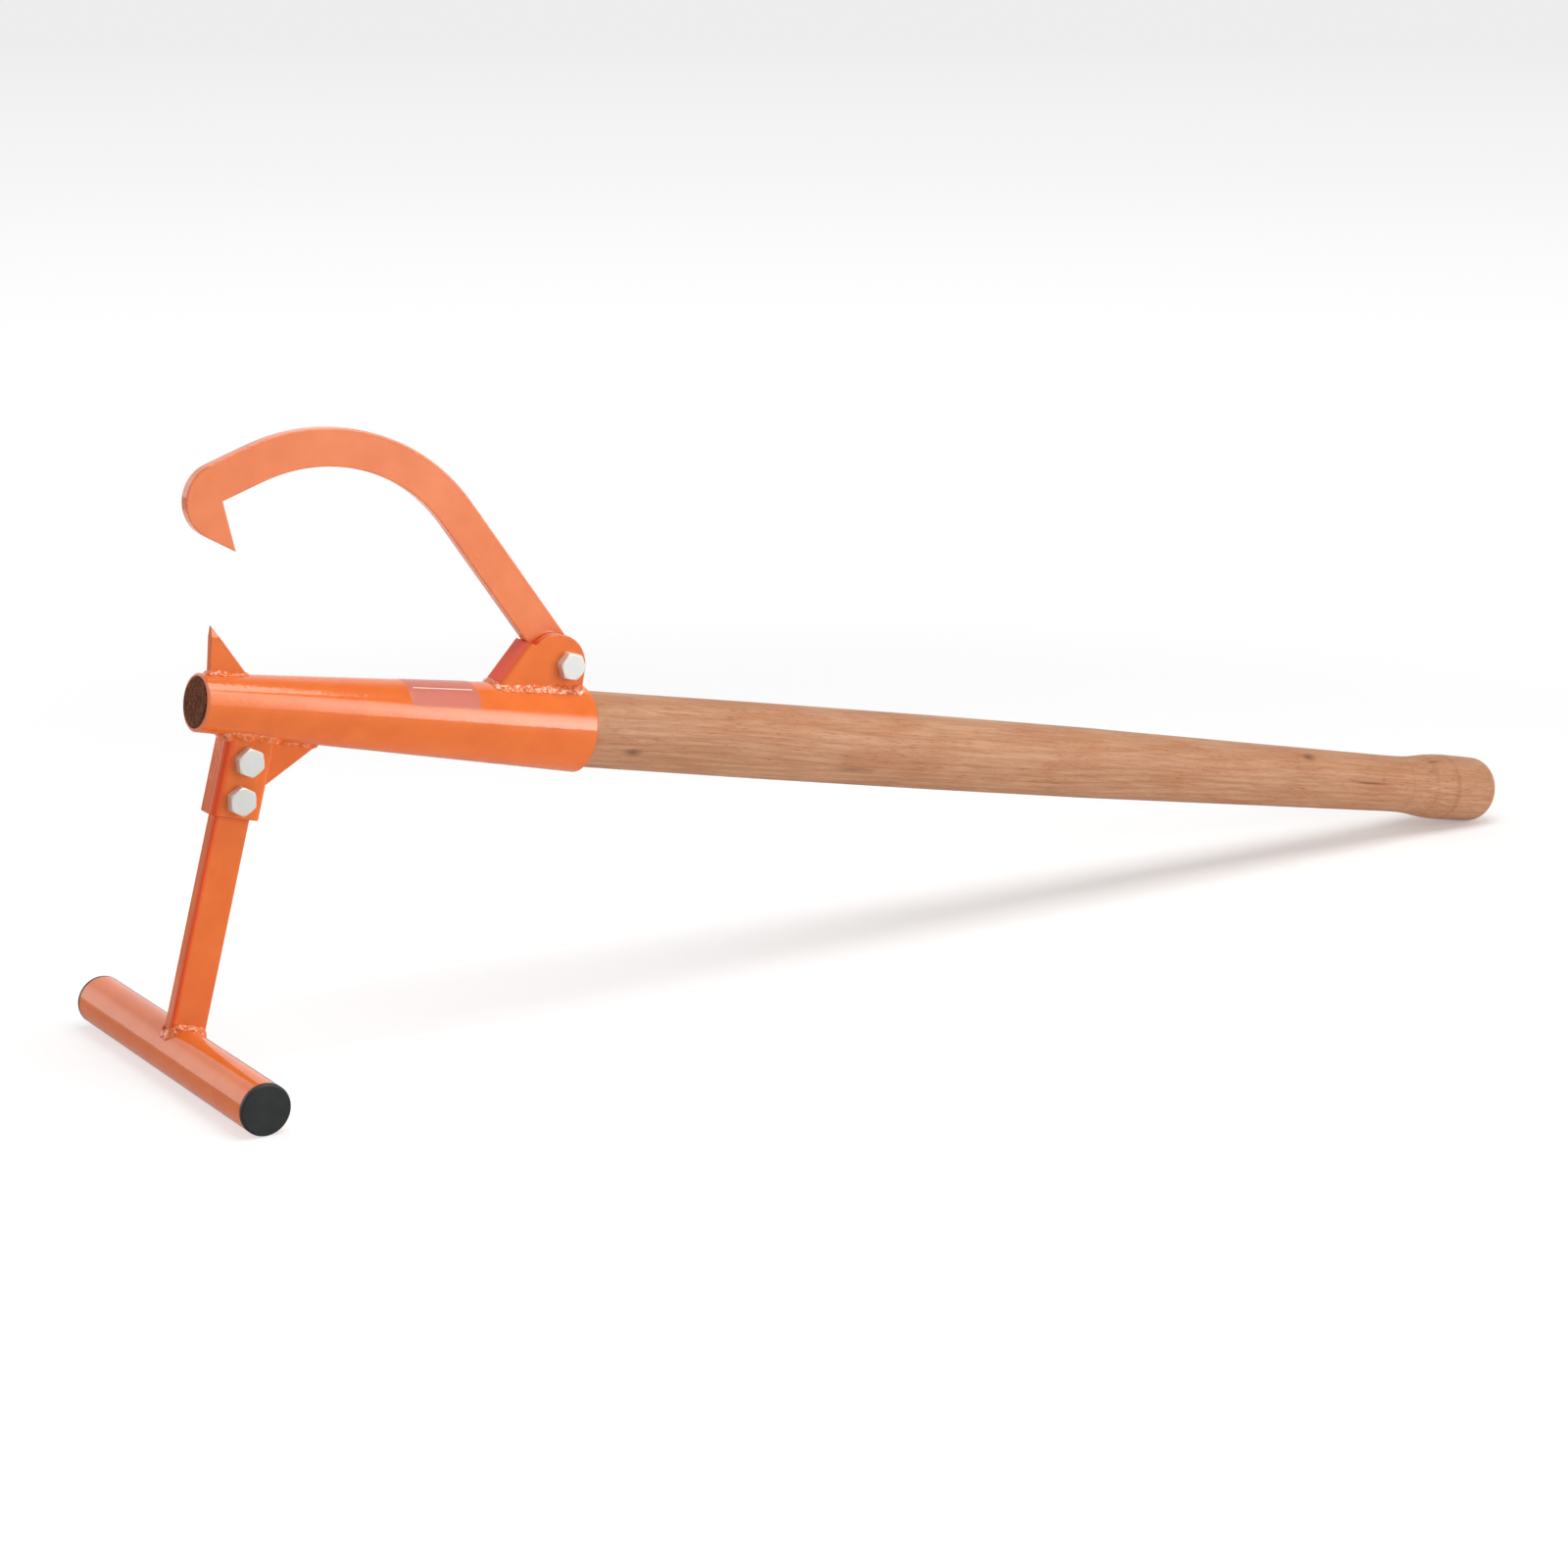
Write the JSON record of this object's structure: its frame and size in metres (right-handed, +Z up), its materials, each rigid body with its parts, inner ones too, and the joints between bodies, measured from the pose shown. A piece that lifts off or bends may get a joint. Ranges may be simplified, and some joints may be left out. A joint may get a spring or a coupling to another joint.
{
  "type": "log lifter",
  "caption": "Timber jack with a wooden handle in a tapered steel socket, a swinging hook, a fixed spike and a bolted leg with a cross tube foot.",
  "frame": {"origin": "on the floor, under the middle of the foot tube, with the tool standing at rest on its foot tube and on the butt of its handle", "axes": "+X from the foot along the floor towards the butt of the handle, +Y across the tool along the foot tube, away from the bolt heads, +Z up"},
  "size_m": [1.1587, 0.2554, 0.4108],
  "materials": {
    "orange_paint": "glossy orange powder coat",
    "hardwood": "clear-oiled turned hardwood",
    "zinc_plated_steel": "bright zinc plating",
    "black_plastic": "moulded, satin",
    "nylon": "plain nylon"
  },
  "bodies": {
    "tool": {"handle": "hardwood", "sleeve": "orange_paint", "spike": "orange_paint", "hook_bracket": "orange_paint", "leg_socket": "orange_paint", "gusset": "orange_paint", "leg": "orange_paint", "foot_tube": "orange_paint", "spike_weld": "orange_paint", "bracket_weld": "orange_paint", "leg_socket_weld": "orange_paint", "gusset_weld": "orange_paint", "foot_weld": "orange_paint", "pivot_bolt": "zinc_plated_steel", "pivot_nut": "zinc_plated_steel", "upper_leg_bolt": "zinc_plated_steel", "upper_leg_nut": "zinc_plated_steel", "lower_leg_bolt": "zinc_plated_steel", "lower_leg_nut": "zinc_plated_steel", "pivot_nut_ring": "nylon", "upper_leg_nut_ring": "nylon", "lower_leg_nut_ring": "nylon", "foot_cap_near": "black_plastic", "foot_cap_far": "black_plastic"},
    "hook": {"hook": "orange_paint"}
  },
  "joints": [
    {"name": "hook_pivot", "type": "hinge", "parent": "tool", "child": "hook", "pos_m": [0.28499, 0, 0.23722], "axis": [0, 1, 0], "range_deg": [0, 138.3]}
  ]
}
